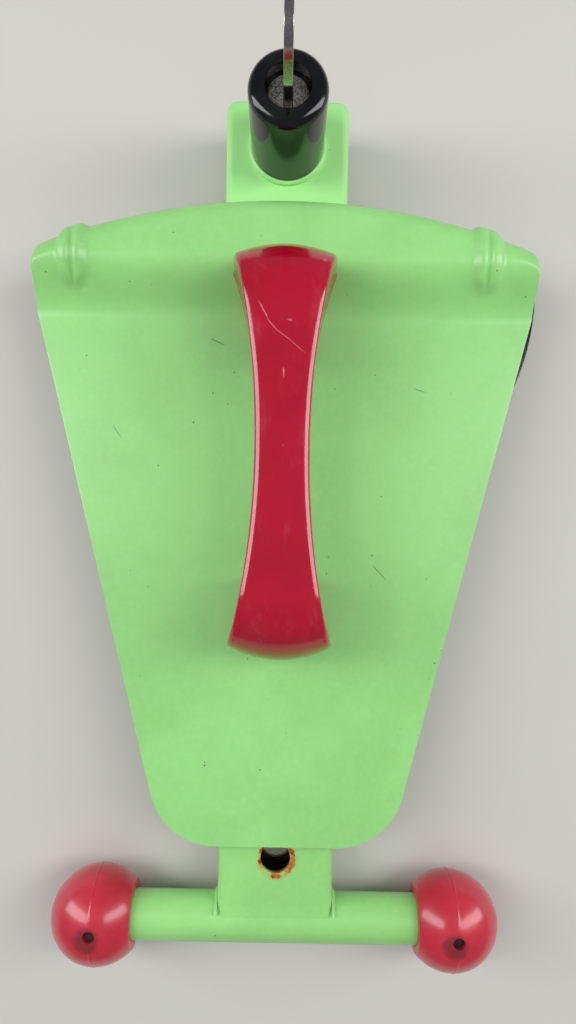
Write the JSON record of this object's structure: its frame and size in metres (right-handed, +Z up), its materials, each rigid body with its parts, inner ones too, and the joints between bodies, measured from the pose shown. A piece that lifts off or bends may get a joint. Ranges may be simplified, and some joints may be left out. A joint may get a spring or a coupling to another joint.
{
  "type": "steering wheel lock",
  "caption": "Steering wheel lock with a pressed shield, arched handle, key lock, hinged rear jaw that traps the wheel rim, and a sliding T-bar with ball ends.",
  "frame": {"origin": "centre of the lock's footprint, on the surface it lies on", "axes": "+Y from the T-bar towards the key lock, +Z up out of the shield's painted face, +X across"},
  "size_m": [0.183, 0.303, 0.0985],
  "materials": {
    "green_powder_coat": "powder coated, semi-gloss",
    "green_weld": "powder coated over a weld bead",
    "red_handle": "moulded, glossy",
    "red_ball": "moulded, satin",
    "black_gloss": "moulded, glossy",
    "black_knob": "moulded, satin",
    "black_rubber": "moulded rubber",
    "plated_steel": "zinc plated",
    "dark_steel": "black oxide",
    "pitted_zinc": "worn and pitted",
    "key_steel": "nickel plated",
    "brass": "machined"
  },
  "bodies": {
    "frame": {"shield_plate": "green_powder_coat", "rim_pad": "black_rubber", "guide_sleeve": "green_powder_coat", "sleeve_welds": "green_weld", "plunger_boss": "plated_steel", "plunger_cap": "plated_steel", "plunger_spring": "plated_steel", "handle": "red_handle", "handle_inserts": "brass", "handle_screws": "dark_steel", "lock_housing": "green_powder_coat", "housing_weld": "green_weld", "barrel_collar": "green_powder_coat", "barrel_cover": "black_gloss", "cylinder_body": "brass", "driver_pins": "brass", "pin_springs": "plated_steel", "bolt_guide": "brass", "hinge_ears": "green_powder_coat", "hinge_pin": "plated_steel", "hinge_clip": "dark_steel"},
    "t_bar": {"slide_bar": "green_powder_coat", "bar_welds": "green_weld", "bar_end_plug": "black_knob", "stop_screw": "plated_steel", "cross_tube": "green_powder_coat", "ball_left": "red_ball", "ball_right": "red_ball", "ball_pins": "dark_steel"},
    "plunger": {"plunger_pin": "plated_steel", "plunger_knob": "black_knob"},
    "plug": {"lock_plug": "pitted_zinc", "key_pins": "brass", "tailpiece": "plated_steel"},
    "key": {"key": "key_steel"},
    "bolt": {"lock_bolt": "plated_steel"},
    "jaw": {"jaw_arm": "green_powder_coat", "jaw_plate": "green_powder_coat", "boot_left": "black_rubber", "boot_right": "black_rubber", "jaw_pad": "black_rubber"}
  },
  "joints": [
    {"name": "t_bar_slide", "type": "slide", "parent": "frame", "child": "t_bar", "axis": [0, -1, 0], "range_m": [0, 0.105]},
    {"name": "plunger_engage", "type": "slide", "parent": "frame", "child": "plunger", "axis": [-1, 0, 0], "range_m": [0, 0.005], "deforming": ["plunger_spring"]},
    {"name": "jaw_hinge", "type": "hinge", "parent": "frame", "child": "jaw", "pos_m": [0, 0.062, 0.0183], "axis": [-1, 0, 0], "range_deg": [0, 75]},
    {"name": "plug_turn", "type": "hinge", "parent": "frame", "child": "plug", "pos_m": [0, 0.1348, 0.05], "axis": [0, 0, 1], "range_deg": [0, 90]},
    {"name": "bolt_drop", "type": "slide", "parent": "frame", "child": "bolt", "axis": [0, 0, -1], "range_m": [0, 0.0065]},
    {"name": "key_out", "type": "slide", "parent": "plug", "child": "key", "axis": [0, 0, 1], "range_m": [0, 0.028]}
  ],
  "couplings": [
    {"joint": "bolt_drop", "follows": "plug_turn", "m_per_rad": 0.004137}
  ]
}
